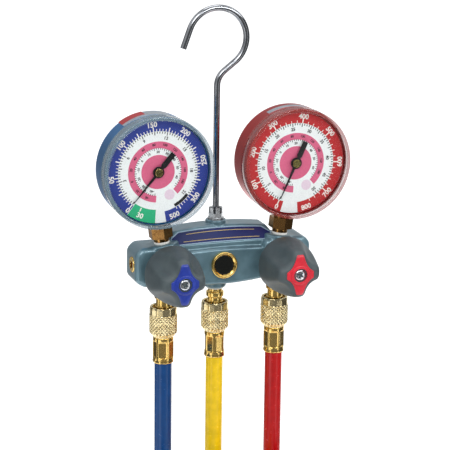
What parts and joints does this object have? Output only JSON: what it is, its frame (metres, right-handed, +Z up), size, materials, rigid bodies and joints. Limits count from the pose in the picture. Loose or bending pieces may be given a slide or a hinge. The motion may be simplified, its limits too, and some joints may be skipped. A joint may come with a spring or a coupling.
{
  "type": "refrigerant manifold gauge",
  "caption": "Two-valve refrigerant manifold with two dial gauges, a sight glass, a swivel hanging hook and hoses in tied hanks.",
  "frame": {"origin": "the hook's seat, the inside top of its bow, where the object hangs", "axes": "+Z up along the hook's rod, -Y to the front, towards someone who reads the dials, +X to the right as seen from the front"},
  "size_m": [0.1912, 0.1123, 0.6464],
  "materials": {
    "body_paint": "satin slate blue-grey paint",
    "label_navy": "navy enamel name plate with thin gold lines",
    "chrome": "polished",
    "plated_steel": "bright plated",
    "brass": "bright turned brass",
    "white_nylon": "pale sealing washer",
    "seal_rubber": "black rubber",
    "case_blue": "metallic blue-grey paint",
    "case_red": "metallic dark red paint",
    "dial_blue": "white dial with a blue scale ring and plain numbers",
    "dial_red": "white dial with a red scale ring and plain numbers",
    "pointer_black": "matt black",
    "lens_clear": "clear moulded lens",
    "sight_glass": "clear glass over the dark chamber",
    "knob_grey": "matt slate grey",
    "insert_blue": "blue star insert",
    "insert_red": "red star insert",
    "hose_blue": "glossy blue hose",
    "hose_yellow": "glossy yellow hose",
    "hose_red": "glossy red hose",
    "tie_black": "black hook-and-loop strap"
  },
  "bodies": {
    "manifold": {"bourdon_tubes": "brass", "dial_left": "dial_blue", "dial_right": "dial_red", "dial_standoffs": "brass", "end_ferrules": "brass", "end_nipples": "brass", "end_plugs": "brass", "flare_fittings": "brass", "gauge_case_left": "case_blue", "gauge_case_right": "case_red", "gauge_sockets": "brass", "gauge_washers": "white_nylon", "hook_nut": "plated_steel", "hose_ferrules": "brass", "hose_hank_left": "hose_blue", "hose_hank_middle": "hose_yellow", "hose_hank_right": "hose_red", "hose_left": "hose_blue", "hose_middle": "hose_yellow", "hose_nipples": "brass", "hose_right": "hose_red", "hose_ties": "tie_black", "label_plate": "label_navy", "lens_gaskets": "seal_rubber", "lens_left": "lens_clear", "lens_right": "lens_clear", "manifold_body": "body_paint", "movement_frames": "brass", "port_seals": "white_nylon", "sight_glass": "sight_glass", "sight_glass_ring": "brass", "sight_glass_seal": "seal_rubber", "stem_seals": "seal_rubber", "valve_bonnets": "brass"},
    "hook": {"hook": "chrome"},
    "piston_left": {"valve_piston_left": "brass"},
    "knob_left": {"valve_stem_left": "plated_steel", "knob_left": "knob_grey", "knob_insert_left": "insert_blue", "knob_screw_left": "plated_steel"},
    "pointer_left": {"pointer_left": "pointer_black", "pointer_arbor_left": "brass"},
    "sector_left": {"sector_gear_left": "brass"},
    "link_left": {"gauge_link_left": "brass"},
    "piston_right": {"valve_piston_right": "brass"},
    "knob_right": {"valve_stem_right": "plated_steel", "knob_right": "knob_grey", "knob_insert_right": "insert_red", "knob_screw_right": "plated_steel"},
    "pointer_right": {"pointer_right": "pointer_black", "pointer_arbor_right": "brass"},
    "sector_right": {"sector_gear_right": "brass"},
    "link_right": {"gauge_link_right": "brass"},
    "coupling_nut_left": {"coupling_nut_left": "brass"},
    "end_nut_left": {"end_nut_left": "brass"},
    "coupling_nut_middle": {"coupling_nut_middle": "brass"},
    "end_nut_middle": {"end_nut_middle": "brass"},
    "coupling_nut_right": {"coupling_nut_right": "brass"},
    "end_nut_right": {"end_nut_right": "brass"}
  },
  "joints": [
    {"name": "hook_swivel", "type": "hinge", "parent": "manifold", "child": "hook", "pos_m": [0, 0, -0.1579], "axis": [0, 0, 1], "continuous": true},
    {"name": "valve_travel_left", "type": "slide", "parent": "manifold", "child": "piston_left", "axis": [0, -1, 0], "range_m": [0, 0.00226]},
    {"name": "knob_turn_left", "type": "hinge", "parent": "piston_left", "child": "knob_left", "pos_m": [-0.0445, -0.029, -0.1879], "axis": [0, -1, 0], "range_deg": [0, 540]},
    {"name": "pointer_turn_left", "type": "hinge", "parent": "manifold", "child": "pointer_left", "pos_m": [-0.05357, -0.0249, -0.11193], "axis": [0, 1, 0], "range_deg": [-38.5, 300]},
    {"name": "sector_turn_left", "type": "hinge", "parent": "manifold", "child": "sector_left", "pos_m": [-0.05089, -0.0189, -0.13376], "axis": [0, 1, 0], "range_deg": [-29.85, 3.7]},
    {"name": "link_swing_left", "type": "hinge", "parent": "sector_left", "child": "link_left", "pos_m": [-0.05624, -0.0199, -0.13649], "axis": [0, 1, 0], "range_deg": [-3.85, 30]},
    {"name": "valve_travel_right", "type": "slide", "parent": "manifold", "child": "piston_right", "axis": [0, -1, 0], "range_m": [0, 0.00226]},
    {"name": "knob_turn_right", "type": "hinge", "parent": "piston_right", "child": "knob_right", "pos_m": [0.0445, -0.029, -0.1879], "axis": [0, -1, 0], "range_deg": [0, 540]},
    {"name": "pointer_turn_right", "type": "hinge", "parent": "manifold", "child": "pointer_right", "pos_m": [0.05357, -0.0249, -0.11193], "axis": [0, 1, 0], "range_deg": [-1.5, 331.5]},
    {"name": "sector_turn_right", "type": "hinge", "parent": "manifold", "child": "sector_right", "pos_m": [0.05089, -0.0189, -0.13376], "axis": [0, 1, 0], "range_deg": [-33, 0]},
    {"name": "link_swing_right", "type": "hinge", "parent": "sector_right", "child": "link_right", "pos_m": [0.04504, -0.0199, -0.13511], "axis": [0, 1, 0], "range_deg": [-0.15, 33.15]},
    {"name": "coupling_spin_left", "type": "hinge", "parent": "manifold", "child": "coupling_nut_left", "pos_m": [-0.0445, -0.0106, -0.2307], "axis": [0, 0, 1], "continuous": true},
    {"name": "end_nut_spin_left", "type": "hinge", "parent": "manifold", "child": "end_nut_left", "pos_m": [-0.0717, -0.0106, -0.62908], "axis": [0, 0, 1], "continuous": true},
    {"name": "coupling_spin_middle", "type": "hinge", "parent": "manifold", "child": "coupling_nut_middle", "pos_m": [0, 0, -0.2335], "axis": [0, 0, 1], "continuous": true},
    {"name": "end_nut_spin_middle", "type": "hinge", "parent": "manifold", "child": "end_nut_middle", "pos_m": [0.0272, 0, -0.62964], "axis": [0, 0, 1], "continuous": true},
    {"name": "coupling_spin_right", "type": "hinge", "parent": "manifold", "child": "coupling_nut_right", "pos_m": [0.0445, -0.0106, -0.2307], "axis": [0, 0, 1], "continuous": true},
    {"name": "end_nut_spin_right", "type": "hinge", "parent": "manifold", "child": "end_nut_right", "pos_m": [0.0717, -0.0106, -0.62908], "axis": [0, 0, 1], "continuous": true}
  ],
  "couplings": [
    {"joint": "valve_travel_left", "follows": "knob_turn_left", "m_per_rad": 0.00023873},
    {"joint": "pointer_turn_left", "follows": "sector_turn_left", "ratio": -10},
    {"joint": "link_swing_left", "follows": "sector_turn_left", "ratio": -1},
    {"joint": "valve_travel_right", "follows": "knob_turn_right", "m_per_rad": 0.00023873},
    {"joint": "pointer_turn_right", "follows": "sector_turn_right", "ratio": -10},
    {"joint": "link_swing_right", "follows": "sector_turn_right", "ratio": -1}
  ]
}
